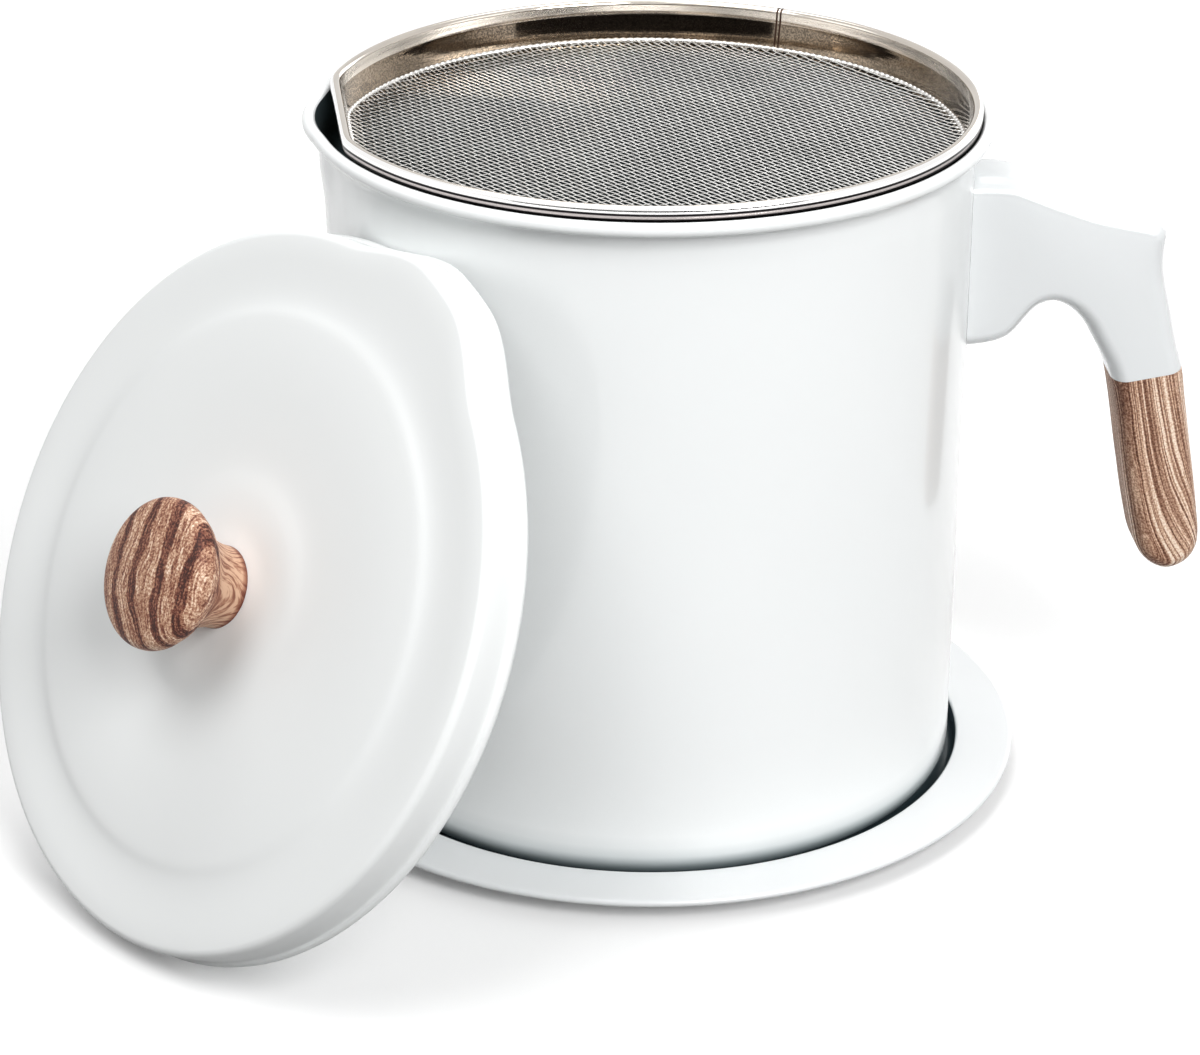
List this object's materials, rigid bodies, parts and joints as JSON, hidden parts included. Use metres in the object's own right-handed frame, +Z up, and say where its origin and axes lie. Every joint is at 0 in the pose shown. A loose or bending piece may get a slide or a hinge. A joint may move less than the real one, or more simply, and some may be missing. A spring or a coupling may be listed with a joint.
{
  "type": "bacon grease container",
  "caption": "White grease keeper: a lipped pot with a side handle, a seated D-shaped mesh strainer, a knobbed lid leaning against it and a flat drip tray.",
  "frame": {"origin": "on the floor under the pot's axis, at the tray's underside", "axes": "+X toward the handle, -X toward the pouring lip, +Z up"},
  "size_m": [0.2474, 0.1975, 0.1429],
  "materials": {
    "tray": "gloss white enamel",
    "pot": "gloss white enamel",
    "lid": "satin white enamel",
    "arm": "gloss",
    "grip": "satin, striped grain",
    "knob": "satin, striped grain",
    "bracket": "satin",
    "screw": "polished",
    "strainer": "polished",
    "net": "woven wire",
    "insert": "plain"
  },
  "bodies": {
    "tray": {"tray": "tray"},
    "pot": {"pot_body": "pot", "handle_bracket": "bracket", "handle_arm": "arm", "handle_grip": "grip", "handle_screw": "screw"},
    "strainer": {"strainer_band": "strainer", "strainer_mesh": "net", "strainer_hoop": "strainer"},
    "lid": {"lid_shell": "lid", "knob": "knob", "knob_insert": "insert", "knob_screw": "screw", "knob_washer": "screw"}
  },
  "joints": [
    {"name": "pot_lift", "type": "slide", "parent": "tray", "child": "pot", "axis": [0, 0, 1], "range_m": [0, 0.08]},
    {"name": "strainer_lift", "type": "slide", "parent": "pot", "child": "strainer", "axis": [0, 0, 1], "range_m": [0, 0.06]},
    {"name": "lid_lift", "type": "slide", "parent": "tray", "child": "lid", "axis": [-0.7239, -0.5202, 0.4532], "range_m": [0, 0.12]}
  ]
}
